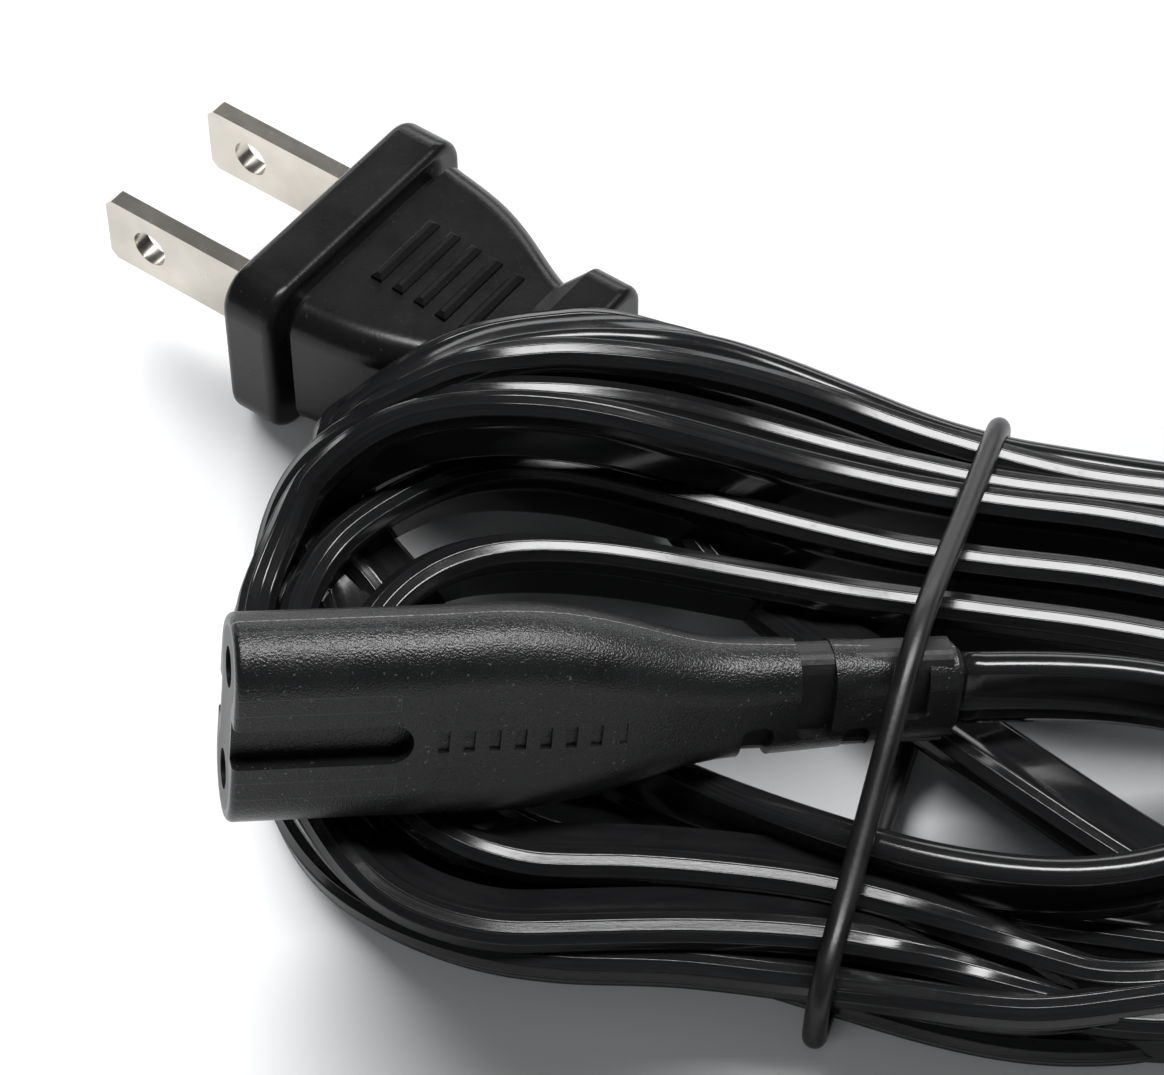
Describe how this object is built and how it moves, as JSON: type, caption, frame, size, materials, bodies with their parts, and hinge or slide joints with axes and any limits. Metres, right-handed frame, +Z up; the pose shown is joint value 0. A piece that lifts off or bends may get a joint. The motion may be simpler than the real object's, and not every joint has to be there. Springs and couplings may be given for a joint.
{
  "type": "power cord",
  "caption": "Flat twin mains cord wound into a hank under a rubber tie, with a figure-8 appliance connector at one end and a two-blade wall plug at the other.",
  "frame": {"origin": "on the table, under the middle of the box round the connector and the plug", "axes": "+Z up from the table; +X along the connector from its nose to its strain relief, as seen from above; +Y from the front of the hank to its back"},
  "size_m": [0.1197, 0.0856, 0.0246],
  "materials": {
    "moulded_pvc": "black moulded PVC with a fine grained surface",
    "plug_pvc": "black moulded PVC, satin",
    "insert_plastic": "hard black moulded plastic",
    "cord_pvc": "glossy extruded black PVC with fine lengthwise ridges",
    "contact_brass": "rolled brass strip",
    "nickel_blade": "nickel-plated brass, lightly worn",
    "copper_strand": "stranded soft copper",
    "tie_rubber": "dull black rubber cord"
  },
  "bodies": {
    "root": {"connector_housing": "moulded_pvc", "plug_housing": "plug_pvc", "connector_insert": "insert_plastic", "plug_insert": "insert_plastic", "connector_contact_left": "contact_brass", "connector_contact_right": "contact_brass", "plug_blade_left": "nickel_blade", "plug_blade_right": "nickel_blade", "connector_cord_end": "cord_pvc", "plug_cord_end": "cord_pvc", "connector_strands_left": "copper_strand", "connector_strands_right": "copper_strand", "plug_strands_left": "copper_strand", "plug_strands_right": "copper_strand", "cord_connector_lead": "cord_pvc", "cord_plug_lead": "cord_pvc", "cord_hank": "cord_pvc", "tie_band": "tie_rubber"}
  },
  "joints": []
}
